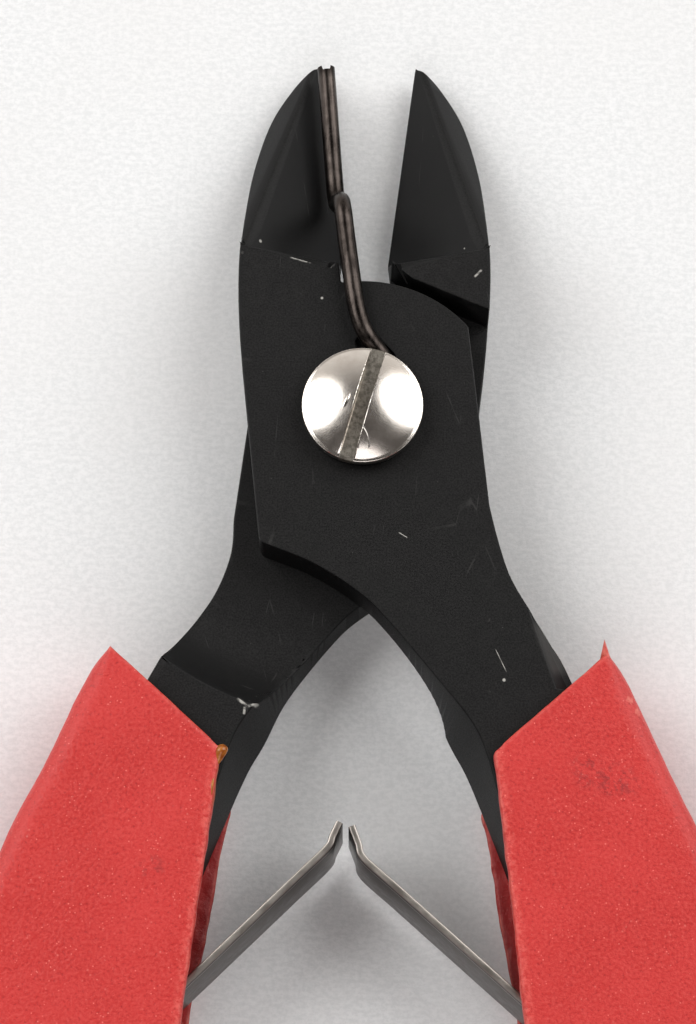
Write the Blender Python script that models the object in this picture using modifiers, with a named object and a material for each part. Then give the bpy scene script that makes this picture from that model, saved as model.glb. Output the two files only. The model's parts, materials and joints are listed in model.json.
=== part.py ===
"""Diagonal cutting pliers: lap-jointed micro side cutters with a lead catcher and leaf springs.

The tool lies flat with the pivot axis on Z, the jaws towards +Y and the handles towards -Y.
The origin is on the pivot axis, at the flat tail of the pivot screw (the underside of the head).
Each lever is drawn in its closed position and turned about the pivot by half the opening angle.
Outlines are in millimetres; MM turns them into metres.
"""
import math

import bmesh
import bpy
from mathutils import Matrix, Vector

MM = 0.001

# Head and joint
THICKNESS = 6.5          # full thickness of the forged head
LAP_GAP = 0.1            # running clearance between the two laps
HALF_OPENING = 6.65      # degrees that each lever stands open at rest
HALF_WIDTH = 7.6         # half the width of the joint
LAP_RADIUS = 9.23        # round end of each lap, about the pivot
EDGE_GAP = 0.12          # each cutting edge's distance from the centre line
ROOT_GAP = 0.5           # relief beside the pivot end of the cutting edge
EDGE_HEIGHT = 0.9        # height of the cutting edge above the flush side
BEVEL_RISE = 0.838       # rise of the jaw's hollow for each millimetre off the edge
RECESS_FLAT = 15.0       # radius of the flat floor of the turned lap recess
RECESS_OUT = 21.2        # radius where the recess runs out at the surface

# Pivot screw and lead catcher
HEAD_RADIUS = 4.0
HEAD_UNDERSIDE = 7.15
HEAD_RIM = 0.5
HEAD_CROWN = 1.15
SLOT_WIDTH = 1.0
SLOT_DEPTH = 1.0
SLOT_ANGLE = -15.0
SHANK_RADIUS = 2.3
THREAD_RADIUS = 2.0
BORE_CLEARANCE = 0.1
WIRE_RADIUS = 0.6
EYE_RADIUS = 3.02
EYE_HEIGHT = 6.45
COUNTERBORE_RADIUS = 3.75
COUNTERBORE_DEPTH = 0.75

# Grips
GRIP_BOTTOM = -1.0
GRIP_TOP = 7.5
GRIP_FIT = 0.14          # clearance between a tang and its grip
GRIP_SHOULDER = 1.5      # rounding along the outer side and the end
GRIP_LIP = 0.15          # share of it at the mouth and the open inner side
GRIP_INNER_X = 5.8
SLOT_END_Y = -58.7       # the grip's inner side is open down to here

# Leaf springs and their rivets
SPRING_THICKNESS = 0.45
SPRING_LOW = 0.35
SPRING_HIGH = 6.15
RIVET_AT = (9.28, -47.4)
RIVET_TILT = 4.45        # degrees between the rivet's axis and X
RIVET_SHANK = 0.9
RIVET_HEAD = 1.6
BEND_AT = (8.4, -42.6)   # axis of the bend at a spring's elbow, closed position


def clear_scene():
    for item in list(bpy.data.objects):
        bpy.data.objects.remove(item, do_unlink=True)


def new_collection(name):
    collection = bpy.data.collections.new(name)
    bpy.context.scene.collection.children.link(collection)
    return collection


clear_scene()
PARTS = new_collection("diagonal_cutting_pliers")
CUTTERS = new_collection("cutters")


def material(name, color, roughness, metallic):
    made = bpy.data.materials.new(name)
    made.use_nodes = True
    shader = made.node_tree.nodes["Principled BSDF"]
    shader.inputs["Base Color"].default_value = (*color, 1.0)
    shader.inputs["Roughness"].default_value = roughness
    shader.inputs["Metallic"].default_value = metallic
    return made


BLACK_STEEL = material("black_oxide_steel", (0.017, 0.017, 0.018), 0.5, 0.6)
BRIGHT_SCREW = material("nickel_plate", (0.80, 0.78, 0.74), 0.2, 1.0)
SPRING_STEEL = material("spring_steel", (0.33, 0.31, 0.28), 0.32, 1.0)
DARK_WIRE = material("blued_wire", (0.06, 0.05, 0.05), 0.3, 0.9)
RED_VINYL = material("red_vinyl", (0.66, 0.055, 0.05), 0.45, 0.0)


# ---------------------------------------------------------------- outlines

def through(points, steps=5):
    """A smooth curve (Catmull-Rom) through a few points, in two or three dimensions."""
    knots = [Vector(p) for p in points]
    ends = [2 * knots[0] - knots[1]] + knots + [2 * knots[-1] - knots[-2]]
    out = []
    for i in range(1, len(ends) - 2):
        a, b, c, d = ends[i - 1:i + 3]
        for k in range(steps):
            t = k / steps
            p = 2 * b + (c - a) * t + (2 * a - 5 * b + 4 * c - d) * t ** 2
            out.append(tuple(0.5 * (p + (3 * b - 3 * c + d - a) * t ** 3)))
    out.append(tuple(knots[-1]))
    return out


def arc(radius, start, end, steps, centre=(0.0, 0.0)):
    """Points on an arc, with its angles in degrees from +X."""
    out = []
    for k in range(steps + 1):
        angle = math.radians(start + (end - start) * k / steps)
        out.append((centre[0] + radius * math.cos(angle), centre[1] + radius * math.sin(angle)))
    return out


JAW_OUTER = through([(-0.15, 27.5), (-0.85, 27.2), (-2.25, 26.0), (-3.95, 23.6), (-5.45, 19.5),
                     (-6.5, 14.85), (-7.22, 10.7), (-7.56, 6.0), (-HALF_WIDTH, 0.0)], 4)
DIAGONAL_START = [(-7.3, -8.45), (-4.3, -10.1), (-1.7, -12.2), (0.0, -14.2)]
UPPER_INNER = [(2.75, -18.4), (4.8, -21.7), (5.55, -24.0), (6.2, -28.0), (7.7, -35.0), (9.2, -42.0)]
LOWER_INNER = [(2.5, -18.5), (3.6, -21.7), (4.5, -24.0), (5.6, -28.0), (7.4, -35.0), (9.2, -42.0)]
TANG_INNER = through([(9.9, -51.0), (9.9, -64.0), (9.0, -80.0), (7.9, -94.5)], 3)
TANG_OUTER = [(12.6, -94.5), (14.2, -78.0), (15.7, -60.0), (15.9, -45.0), (15.1, -35.0), (13.6, -26.5)]
NECK_OUTER = [(11.35, -19.3), (10.3, -16.9), (9.2, -14.6), (8.25, -12.3), (7.75, -9.8)]
NECK_SHIFT = {1: 0.15, -1: -0.3}   # how far each neck's outer side stands off the common line
GRIP_OUTER = through([(14.0, -18.1), (14.9, -19.5), (15.8, -22.0), (17.1, -26.3), (18.75, -31.3),
                      (20.25, -38.0), (20.9, -46.0), (20.65, -56.0), (19.0, -70.0),
                      (16.7, -83.0), (14.75, -92.5)], 3)


def lap_corner_angle():
    return math.degrees(math.acos(HALF_WIDTH / LAP_RADIUS))


def tang_outer(side):
    neck = [(x + NECK_SHIFT[side], y) for x, y in NECK_OUTER]
    return through(TANG_OUTER + neck + [(HALF_WIDTH, -7.4)], 3)


def lever_outline(side, inner):
    """One forging seen from above: jaw on the left, handle on the right, closed position."""
    inner_angle = 90.0 + math.degrees(math.asin(ROOT_GAP / LAP_RADIUS))
    outline = [(-EDGE_GAP, 27.5)] + JAW_OUTER
    outline += [(-HALF_WIDTH, -7.9), (-7.5, -8.3)] + through(DIAGONAL_START + inner, 3)
    outline += TANG_INNER + tang_outer(side)
    outline += arc(LAP_RADIUS, lap_corner_angle(), inner_angle, 11)
    outline += [(-ROOT_GAP, 11.2), (-EDGE_GAP, 12.7)]
    return outline


def grip_outline():
    end = arc(4.6, 8.0, -82.0, 7, (9.9, -95.2)) + arc(3.6, 262.0, 180.0, 6, (9.4, -96.2))
    return GRIP_OUTER + end + [(GRIP_INNER_X, -92.0), (GRIP_INNER_X, -24.05)]


def grip_levels():
    """The grip's outline at rising heights, drawn in towards the top and bottom."""
    outline = grip_outline()
    shares = []
    for i, (x, y) in enumerate(outline):
        near_mouth = GRIP_LIP + (1.0 - GRIP_LIP) * min(1.0, i / 5)
        shares.append(GRIP_LIP if x < GRIP_INNER_X + 0.01 else near_mouth)
    rounding = [math.radians(30.0 * k) for k in range(4)]
    levels = []
    for angle in rounding:
        amount = GRIP_SHOULDER * (1.0 - math.sin(angle))
        height = GRIP_BOTTOM + GRIP_SHOULDER * (1.0 - math.cos(angle))
        levels.append((inset(outline, [share * amount for share in shares]), height))
    top = [(points, GRIP_TOP + GRIP_BOTTOM - height) for points, height in levels[::-1]]
    return levels + top


def lower_flange_outline():
    """The lower flange reaches a little further in than the upper one near the mouth."""
    edge = through([(5.1, -26.2), (5.35, -28.6), (5.45, -32.3), (5.6, -35.2), (GRIP_INNER_X, -38.5)], 3)
    return [(9.0, -26.0)] + edge + [(9.0, -38.5)]


def grip_cavity_outline():
    """The tang's own outline with clearance, left open at the mouth and along the inner side."""
    fit = GRIP_FIT
    outer = [(x + fit, y) for x, y in tang_outer(1) if y < -22.0]
    beyond_mouth = [(12.6, -19.0), (9.0, -14.0), (2.0, -16.0)]
    inner = [(x - fit, y) for x, y in TANG_INNER if y < SLOT_END_Y]
    open_side = [(2.0, SLOT_END_Y), (inner[0][0], SLOT_END_Y)]
    end = [(7.9 - fit, -94.5 - fit), (12.6 + fit, -94.5 - fit)]
    return outer + beyond_mouth + open_side + inner + end


# ---------------------------------------------------------------- mesh helpers

def link(item, collection):
    for old in list(item.users_collection):
        old.objects.unlink(item)
    collection.objects.link(item)


def as_cutter(item):
    link(item, CUTTERS)
    item.hide_render = True
    item.display_type = "WIRE"
    return item


def mesh_object(name, bm, finish=None):
    mesh = bpy.data.meshes.new(name)
    bmesh.ops.recalc_face_normals(bm, faces=bm.faces)
    bm.to_mesh(mesh)
    bm.free()
    made = bpy.data.objects.new(name, mesh)
    PARTS.objects.link(made)
    if finish:
        mesh.materials.append(finish)
    return made


def as_mesh(curve_object):
    """The curve object's evaluated shape as a mesh object with welded caps."""
    bpy.context.view_layer.update()
    graph = bpy.context.evaluated_depsgraph_get()
    mesh = bpy.data.meshes.new_from_object(curve_object.evaluated_get(graph))
    bm = bmesh.new()
    bm.from_mesh(mesh)
    bmesh.ops.remove_doubles(bm, verts=bm.verts, dist=1e-6)
    bmesh.ops.recalc_face_normals(bm, faces=bm.faces)
    bm.to_mesh(mesh)
    bm.free()
    made = bpy.data.objects.new(curve_object.name, mesh)
    made.matrix_world = curve_object.matrix_world
    PARTS.objects.link(made)
    name = curve_object.name
    bpy.data.objects.remove(curve_object, do_unlink=True)
    made.name = name
    return made


def plate(name, outline, low, high, side=1, finish=None):
    """A flat outline between two heights; side -1 mirrors it across the centre line."""
    curve = bpy.data.curves.new(name, "CURVE")
    curve.dimensions = "2D"
    curve.fill_mode = "BOTH"
    curve.extrude = (high - low) / 2 * MM
    spline = curve.splines.new("POLY")
    spline.points.add(len(outline) - 1)
    for point, (x, y) in zip(spline.points, outline):
        point.co = (side * x * MM, y * MM, 0.0, 1.0)
    spline.use_cyclic_u = True
    if finish:
        curve.materials.append(finish)
    made = bpy.data.objects.new(name, curve)
    made.location.z = (high + low) / 2 * MM
    PARTS.objects.link(made)
    return as_mesh(made)


def loft(name, levels, side, finish):
    """Outlines of as many points at rising heights, each joined to the next by a ruled side."""
    bm = bmesh.new()
    rings = [[bm.verts.new((side * x * MM, y * MM, z * MM)) for x, y in outline]
             for outline, z in levels]
    bm.faces.new(rings[0])
    bm.faces.new(rings[-1])
    for lower, upper in zip(rings, rings[1:]):
        for i, (a, b) in enumerate(zip(lower, upper)):
            bm.faces.new((a, b, upper[i - 1]))
            bm.faces.new((a, upper[i - 1], lower[i - 1]))
    return mesh_object(name, bm, finish)


def inset(outline, amounts):
    """The outline drawn in, each point by its own amount; the outline runs clockwise."""
    out = []
    for i, (point, amount) in enumerate(zip(outline, amounts)):
        before = Vector(outline[i - 1])
        after = Vector(outline[(i + 1) % len(outline)])
        run = (after - before).normalized()
        out.append(tuple(Vector(point) + Vector((run.y, -run.x)) * amount))
    return out


def hull(name, points):
    """The convex solid around a few corner points."""
    bm = bmesh.new()
    for point in points:
        bm.verts.new(Vector(point) * MM)
    found = bmesh.ops.convex_hull(bm, input=bm.verts)
    loose = {v for v in found["geom_interior"] if isinstance(v, bmesh.types.BMVert)}
    bmesh.ops.delete(bm, geom=list(loose), context="VERTS")
    return mesh_object(name, bm)


def turned(name, profile, steps, finish=None):
    """A profile of (radius, height) points, listed from the top down, turned about Z."""
    bm = bmesh.new()
    verts = [bm.verts.new((r * MM, 0.0, z * MM)) for r, z in profile]
    for a, b in zip(verts, verts[1:]):
        bm.edges.new((a, b))
    mesh = bpy.data.meshes.new(name)
    bm.to_mesh(mesh)
    bm.free()
    made = bpy.data.objects.new(name, mesh)
    PARTS.objects.link(made)
    spin = made.modifiers.new("turn", "SCREW")
    spin.steps = steps
    spin.render_steps = steps
    spin.use_merge_vertices = True
    spin.merge_threshold = 1e-6
    if finish:
        mesh.materials.append(finish)
    return made


def bar(name, radius, low, high, steps=32):
    """A plain cylinder on the pivot axis, for bores."""
    return turned(name, [(0.0, high), (radius, high), (radius, low), (0.0, low)], steps)


def boolean(target, other, operation):
    step = target.modifiers.new(operation.lower() + "_" + other.name, "BOOLEAN")
    step.operation = operation
    step.object = other
    step.solver = "EXACT"


def cut(target, other):
    boolean(target, as_cutter(other), "DIFFERENCE")


def tube(name, points, radius, finish, resolution=3):
    curve = bpy.data.curves.new(name, "CURVE")
    curve.dimensions = "3D"
    curve.bevel_depth = radius * MM
    curve.bevel_resolution = resolution
    curve.use_fill_caps = True
    spline = curve.splines.new("POLY")
    spline.points.add(len(points) - 1)
    for point, place in zip(spline.points, points):
        point.co = (*(Vector(place) * MM), 1.0)
    curve.materials.append(finish)
    made = bpy.data.objects.new(name, curve)
    PARTS.objects.link(made)
    return made


def smooth(item, angle=35.0):
    if item.type == "MESH":
        item.data.shade_smooth()
        item.data.set_sharp_from_angle(angle=math.radians(angle))


# ---------------------------------------------------------------- the two levers

def recess_cutter(name, side, top):
    """The lap recess: turned about the pivot with a rounded run-out, and stopped at the jaw's shoulder."""
    depth = THICKNESS / 2 + LAP_GAP / 2
    run = RECESS_OUT - RECESS_FLAT
    radius = (depth ** 2 + run ** 2) / (2 * depth)
    sweep = math.degrees(math.asin(run / radius))
    profile = [(0.0, depth + 2.0), (RECESS_OUT + 0.6, depth + 2.0)]
    outside = [(RECESS_OUT + 0.6, depth + 0.35)]
    rise = []
    for r, z in arc(radius, -90.0, -90.0 + sweep, 7, (RECESS_FLAT, radius)):
        rise.append((r, z))
    profile += outside + rise[::-1] + [(0.0, 0.0)]
    floor = THICKNESS - depth
    if top:
        heights = [(r, z + floor) for r, z in profile]
    else:
        heights = [(r, depth - z) for r, z in profile][::-1]
    disc = turned(name, heights, 72)
    keep = [(-side * 12.0, 6.85), (-side * 2.05, 9.75), (-side * 0.74, 10.6),
            (side * 3.0, 13.2), (side * 3.0, 40.0), (-side * 30.0, 40.0), (-side * 30.0, 6.85)]
    jaw_side = plate(name + "_shoulder", keep, -5.0, 12.0)
    cut(disc, jaw_side)
    return disc


def jaw_hollow_cutter(name, side):
    """The sloping face that runs down to the cutting edge, with a leaning wall at its root."""
    corners = []
    for x in (-1.5, 9.5):
        root_y = 10.5 + 0.3 * x
        low = EDGE_HEIGHT + BEVEL_RISE * (x - EDGE_GAP)
        for z in (low, 9.5):
            corners.append((-side * x, root_y + (THICKNESS - z) * 0.36, z))
            corners.append((-side * x, 31.5, z))
    return hull(name, corners)


def jaw_chamfer_cutter(name, side):
    """The outer facet of the jaw, below the ridge that runs from the shoulder to the tip."""
    root, tip = Vector((6.8, 12.6, 6.5)), Vector((1.45, 25.4, 2.0))
    along = tip - root
    corners = []
    for end in (root - along * 0.25, tip + along * 0.45):
        for step in ((0, 0, 0), (7.0, 2.5, -8.4), (7.0, 2.5, 14.0), (0, 0, 14.0)):
            place = end + Vector(step)
            corners.append((-side * place.x, place.y, place.z))
    return hull(name, corners)


def rivet_frame(side):
    """The rivet's axis as a matrix: local +Z points out of the tang's inner face."""
    turn = Matrix.Rotation(math.radians(-90.0), 4, "Y")
    lean = Matrix.Rotation(math.radians(RIVET_TILT), 4, "Z")
    place = Matrix.Translation(Vector((RIVET_AT[0], RIVET_AT[1], THICKNESS / 2)) * MM)
    mirror = Matrix.Rotation(math.pi, 4, "Y") if side < 0 else Matrix.Identity(4)
    middle = Matrix.Translation((0.0, 0.0, THICKNESS / 2 * MM))
    return middle @ mirror @ middle.inverted() @ place @ lean @ turn


def lever(name, side, top_recess):
    """One half: jaw, lap and tang. side 1 has its jaw on the left and its handle on the right."""
    levels = [(lever_outline(side, LOWER_INNER), 0.0), (lever_outline(side, UPPER_INNER), THICKNESS)]
    made = loft(name, levels, side, BLACK_STEEL)
    cut(made, recess_cutter(name + "_recess", side, top_recess))
    cut(made, jaw_hollow_cutter(name + "_hollow", side))
    cut(made, jaw_chamfer_cutter(name + "_chamfer", side))
    rivet_hole = turned(name + "_rivet_hole", [(0.0, 2.0), (RIVET_SHANK + 0.1, 2.0),
                                               (RIVET_SHANK + 0.1, -4.2), (0.0, -4.2)], 20)
    rivet_hole.matrix_world = rivet_frame(side)
    cut(made, rivet_hole)
    return made


def front_lever():
    made = lever("front_lever", 1, False)
    bore, floor = SHANK_RADIUS + BORE_CLEARANCE, THICKNESS - COUNTERBORE_DEPTH
    stepped = [(0.0, 8.0), (COUNTERBORE_RADIUS, 8.0), (COUNTERBORE_RADIUS, floor),
               (bore, floor), (bore, -1.0), (0.0, -1.0)]
    seat = turned("front_bore", stepped, 40)
    groove = [(2.7, 0.9), (0.94, 3.01), (0.1, 4.5), (0.05, 5.0), (0.45, 5.4), (1.05, 5.4),
              (1.5, 5.1), (2.45, 3.87), (3.6, 1.2)]
    boolean(seat, as_cutter(plate("front_wire_groove", groove, floor + 0.08, 7.7)), "UNION")
    cut(made, seat)
    return made


def back_lever():
    made = lever("back_lever", -1, True)
    cut(made, bar("back_bore", THREAD_RADIUS + BORE_CLEARANCE, -1.0, 8.0))
    return made


# ---------------------------------------------------------------- pivot screw and wire

def pivot_screw():
    rim = HEAD_UNDERSIDE + HEAD_RIM
    dome_radius = (HEAD_RADIUS ** 2 + HEAD_CROWN ** 2) / (2 * HEAD_CROWN)
    sweep = math.degrees(math.asin(HEAD_RADIUS / dome_radius))
    dome = arc(dome_radius, 90.0, 90.0 - sweep, 7, (0.0, rim + HEAD_CROWN - dome_radius))
    dome[0] = (0.0, rim + HEAD_CROWN)
    shoulder = THICKNESS / 2 + LAP_GAP
    profile = dome + [(HEAD_RADIUS, HEAD_UNDERSIDE), (SHANK_RADIUS, HEAD_UNDERSIDE),
                      (SHANK_RADIUS, shoulder), (THREAD_RADIUS, shoulder),
                      (THREAD_RADIUS, 0.0), (0.0, 0.0)]
    made = turned("pivot_screw", profile, 40, BRIGHT_SCREW)
    half, reach, top = SLOT_WIDTH / 2, HEAD_RADIUS + 1.0, rim + HEAD_CROWN
    slot = plate("driver_slot", [(-half, -reach), (half, -reach), (half, reach), (-half, reach)],
                 top - SLOT_DEPTH, top + 1.0)
    slot.rotation_euler.z = math.radians(SLOT_ANGLE)
    cut(made, slot)
    return made


def catcher_path():
    """The wire's centre line: an eye round the shank, a rise out of the groove, a run to the jaw."""
    eye = [(x, y, EYE_HEIGHT) for x, y in arc(EYE_RADIUS, -277.0, 10.0, 22)]
    start = arc(EYE_RADIUS, 22.0, 22.0, 1)[0]
    rise = [(*start, EYE_HEIGHT), (1.75, 3.55, EYE_HEIGHT + 0.05), (0.8, 5.05, 7.05), (0.36, 6.7, 7.2),
            (0.22, 9.3, 7.2), (0.15, 12.2, 7.2), (0.13, 13.9, 7.15), (0.1, 14.95, 6.6),
            (0.05, 15.5, 5.2), (-0.03, 15.8, 4.0), (-0.08, 16.6, 2.95), (-0.06, 18.2, 2.7),
            (0.05, 22.0, 2.7), (0.2, 26.6, 2.7)]
    return eye + through(rise, 3)


def lead_catcher():
    return tube("lead_catcher", catcher_path(), WIRE_RADIUS, DARK_WIRE, 2)


# ---------------------------------------------------------------- springs, rivets, grips

def strip(points, thickness):
    """The outline of a bent strip of even thickness along a line of points."""
    left, right = [], []
    for i, point in enumerate(points):
        before = Vector(points[max(i - 1, 0)])
        after = Vector(points[min(i + 1, len(points) - 1)])
        run = (after - before).normalized()
        off = Vector((-run.y, run.x)) * thickness / 2
        left.append(tuple(Vector(point) + off))
        right.append(tuple(Vector(point) - off))
    return left + right[::-1]


def spring_line(tip, flare, elbow):
    """Tip, flare and blade of a leaf spring, its elbow at the tang, and the riveted foot."""
    foot = [(8.93, -44.2), (9.46, -51.0)]
    blade = [flare, tuple(Vector(flare).lerp(Vector(elbow), 0.12)), elbow]
    bend = tuple(Vector(elbow).lerp(Vector(foot[0]), 0.5) + Vector((0.12, 0.0)))
    return [tip, tuple(Vector(tip).lerp(Vector(flare), 0.6))] + blade + [bend] + foot


LEFT_SPRING = spring_line((-2.15, -27.6), (-1.6, -29.35), (8.1, -41.7))
RIGHT_SPRING = spring_line((-3.5, -27.7), (-2.95, -29.85), (8.2, -42.3))


def leaf_spring(name, line, side):
    made = plate(name, strip(line, SPRING_THICKNESS), SPRING_LOW, SPRING_HIGH, side, SPRING_STEEL)
    hole = turned(name + "_hole", [(0.0, 2.0), (RIVET_SHANK + 0.1, 2.0),
                                   (RIVET_SHANK + 0.1, -2.0), (0.0, -2.0)], 20)
    hole.matrix_world = rivet_frame(side)
    cut(made, hole)
    return made


def rivet(name, side):
    head_base = SPRING_THICKNESS / 2 + 0.1
    profile = [(0.0, head_base + 0.7), (0.8, head_base + 0.6), (1.35, head_base + 0.35),
               (RIVET_HEAD, head_base), (RIVET_SHANK, head_base), (RIVET_SHANK, -4.0), (0.0, -4.0)]
    made = turned(name, profile, 20, SPRING_STEEL)
    made.matrix_world = rivet_frame(side)
    return made


def grip(name, side):
    made = loft(name, grip_levels(), side, RED_VINYL)
    ledge = plate(name + "_ledge", lower_flange_outline(), GRIP_BOTTOM + 0.07, 1.0, side)
    boolean(made, as_cutter(ledge), "UNION")
    cavity = plate(name + "_cavity", grip_cavity_outline(), -GRIP_FIT, THICKNESS + GRIP_FIT, side)
    cut(made, cavity)
    return made


# ---------------------------------------------------------------- assembly

def half_empty(name, angle):
    """The pivot axis of one half: everything on that half turns with this empty."""
    made = bpy.data.objects.new(name, None)
    made.rotation_euler.z = math.radians(angle)
    PARTS.objects.link(made)
    return made


def hang(items, parent):
    bpy.context.view_layer.update()
    for item in items:
        for step in item.modifiers:
            if step.type == "BOOLEAN":
                hang([step.object], parent)
        item.parent = parent


def hang_spring(item, name, side, half_axis):
    """The spring hangs from an empty on the axis of its elbow, which hangs from its half."""
    bend_axis = bpy.data.objects.new(name, None)
    bend_axis.location = (side * BEND_AT[0] * MM, BEND_AT[1] * MM, 0.0)
    PARTS.objects.link(bend_axis)
    hang([item], bend_axis)
    bpy.context.view_layer.update()
    offset = bend_axis.matrix_world.inverted()
    item.matrix_parent_inverse = offset
    item.modifiers[0].object.matrix_parent_inverse = offset
    bend_axis.parent = half_axis


front_axis = half_empty("front_half_axis", HALF_OPENING)
back_axis = half_empty("back_half_axis", -HALF_OPENING)
hang([front_lever(), lead_catcher(), rivet("right_spring_rivet", 1), grip("right_grip", 1)],
     front_axis)
hang([back_lever(), rivet("left_spring_rivet", -1), grip("left_grip", -1)], back_axis)
hang_spring(leaf_spring("right_leaf_spring", RIGHT_SPRING, 1), "right_bend_axis", 1, front_axis)
hang_spring(leaf_spring("left_leaf_spring", LEFT_SPRING, -1), "left_bend_axis", -1, back_axis)
pivot_screw()
for part in PARTS.objects:
    smooth(part)
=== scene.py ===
"""The look of the diagonal cutting pliers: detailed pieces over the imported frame.

Lengths are in millimetres in the row frame (pivot axis on Z, jaws towards +Y) and MM turns them
into metres. Each half is drawn closed and turned about the pivot by half the opening angle.
"""
import json
import math

import bmesh
import bpy
from mathutils import Matrix, Vector, noise


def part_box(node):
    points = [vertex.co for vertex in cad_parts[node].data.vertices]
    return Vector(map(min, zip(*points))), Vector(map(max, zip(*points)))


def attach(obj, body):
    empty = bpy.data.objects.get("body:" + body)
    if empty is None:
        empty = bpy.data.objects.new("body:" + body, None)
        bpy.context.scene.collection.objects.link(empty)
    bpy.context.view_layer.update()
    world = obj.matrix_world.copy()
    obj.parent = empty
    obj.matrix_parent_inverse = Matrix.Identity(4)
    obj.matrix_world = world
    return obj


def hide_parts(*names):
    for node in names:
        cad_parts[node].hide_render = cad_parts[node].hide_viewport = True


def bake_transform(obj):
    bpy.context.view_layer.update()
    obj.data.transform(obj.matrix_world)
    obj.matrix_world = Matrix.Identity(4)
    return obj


MM = 0.001

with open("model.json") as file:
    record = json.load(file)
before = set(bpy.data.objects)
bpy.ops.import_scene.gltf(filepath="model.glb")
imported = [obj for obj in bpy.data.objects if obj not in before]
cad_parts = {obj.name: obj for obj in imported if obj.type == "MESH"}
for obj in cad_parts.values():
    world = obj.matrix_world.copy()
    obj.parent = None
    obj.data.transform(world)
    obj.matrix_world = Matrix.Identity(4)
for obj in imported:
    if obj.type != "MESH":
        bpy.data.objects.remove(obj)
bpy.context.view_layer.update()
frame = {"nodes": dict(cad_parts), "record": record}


def box_mm(node):
    low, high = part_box(node)
    return low / MM, high / MM


def joint(name):
    return next(j for j in frame["record"]["behaviour"]["joints"] if j["name"] == name)


# ---------------------------------------------------------------- sizes, from the frame first

HALF_OPENING = -joint("jaw_pivot")["range_deg"][0] / 2
THICKNESS = box_mm("front_lever")[1].z
SCREW_LOW, SCREW_HIGH = box_mm("pivot_screw")
HEAD_RADIUS = (SCREW_HIGH.x - SCREW_LOW.x) / 2
HEAD_TOP = SCREW_HIGH.z
GRIP_BOTTOM, GRIP_TOP = (corner.z for corner in box_mm("right_grip"))
SPRING_LOW, SPRING_HIGH = (corner.z for corner in box_mm("left_leaf_spring"))

# Levers
LAP_GAP = 0.1
HALF_WIDTH = 7.6
LAP_RADIUS = 9.23
EDGE_GAP = 0.12
ROOT_GAP = 0.5
EDGE_HEIGHT = 0.9        # where the hollow's slope meets the cutting edge
BEVEL_RISE = 0.838       # rise of the hollow per millimetre away from the edge
RIDGE_ROOT = Vector((6.8, 12.6, 6.5))    # the ridge between a jaw's hollow and its outer facet
RIDGE_TIP = Vector((1.45, 25.4, 2.0))
RIDGE_SHARES = (0.28, 0.5, 0.72)         # slopes that round the ridge, from hollow to facet
FACE_SPLITS = (13.7, 25.9)               # places along Y where long faces are divided
RECESS_FLAT = 15.0
RECESS_OUT = 21.2
RECESS_LIP = 0.6         # how far the recess runs past its rounded run-out
STEEL_EDGE = 0.13        # rounding of the forgings' edges

# Screw and wire
HEAD_UNDERSIDE = 7.15
HEAD_CROWN = 1.15
HEAD_ROUND = 0.16        # rounding of the head's rim
DOME_RADIUS = (HEAD_RADIUS ** 2 + HEAD_CROWN ** 2) / (2 * HEAD_CROWN)
SLOT_WIDTH = 1.0
SLOT_DEPTH = 1.0
SLOT_ANGLE = -15.0
SHANK_RADIUS = 2.3
SHANK_TAIL = 2.0         # radius of the tail in the back half
WIRE_RADIUS = 0.6
WIRE_END = (0.2, 26.6, 2.7)
EYE_RADIUS = 3.02
EYE_HEIGHT = 6.45
COUNTERBORE_RADIUS = 3.75
COUNTERBORE_DEPTH = 0.75

# Springs and grips
SPRING_THICKNESS = 0.45
GRIP_FIT = 0.14
GRIP_SHOULDER = 1.5
GRIP_LIP = 0.15
GRIP_INNER_X = 5.8
GRIP_MOUTH_POINTS = 13   # outline points over which the lip grows into the full shoulder
GRIP_LAYERS = 7
SLOT_END_Y = -58.7
GRIP_VOXEL = 0.2         # size of the grips' surface mesh


# ---------------------------------------------------------------- outlines

def through(points, steps=8):
    """A smooth curve (Catmull-Rom) through a few points, in two or three dimensions."""
    knots = [Vector(p) for p in points]
    ends = [2 * knots[0] - knots[1]] + knots + [2 * knots[-1] - knots[-2]]
    out = []
    for i in range(1, len(ends) - 2):
        a, b, c, d = ends[i - 1:i + 3]
        for k in range(steps):
            t = k / steps
            p = 2 * b + (c - a) * t + (2 * a - 5 * b + 4 * c - d) * t ** 2
            out.append(tuple(0.5 * (p + (3 * b - 3 * c + d - a) * t ** 3)))
    out.append(tuple(knots[-1]))
    return out


def on_circle(radius, degrees, centre=(0.0, 0.0)):
    angle = math.radians(degrees)
    return centre[0] + radius * math.cos(angle), centre[1] + radius * math.sin(angle)


def arc(radius, start, end, steps, centre=(0.0, 0.0)):
    """Points on an arc, with its angles in degrees from +X."""
    return [on_circle(radius, start + (end - start) * k / steps, centre) for k in range(steps + 1)]


JAW_OUTER = through([(-0.15, 27.5), (-0.85, 27.2), (-2.25, 26.0), (-3.95, 23.6), (-5.45, 19.5),
                     (-6.5, 14.85), (-7.22, 10.7), (-7.56, 6.0), (-HALF_WIDTH, 0.0)])
DIAGONAL_START = [(-7.3, -8.45), (-4.3, -10.1), (-1.7, -12.2), (0.0, -14.2)]
UPPER_INNER = [(2.75, -18.4), (4.8, -21.7), (5.55, -24.0), (6.2, -28.0), (7.7, -35.0), (9.2, -42.0)]
LOWER_INNER = [(2.5, -18.5), (3.6, -21.7), (4.5, -24.0), (5.6, -28.0), (7.4, -35.0), (9.2, -42.0)]
TANG_INNER = through([(9.9, -51.0), (9.9, -64.0), (9.0, -80.0), (7.9, -94.5)])
TANG_OUTER = [(12.6, -94.5), (14.2, -78.0), (15.7, -60.0), (15.9, -45.0), (15.1, -35.0), (13.6, -26.5)]
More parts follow.
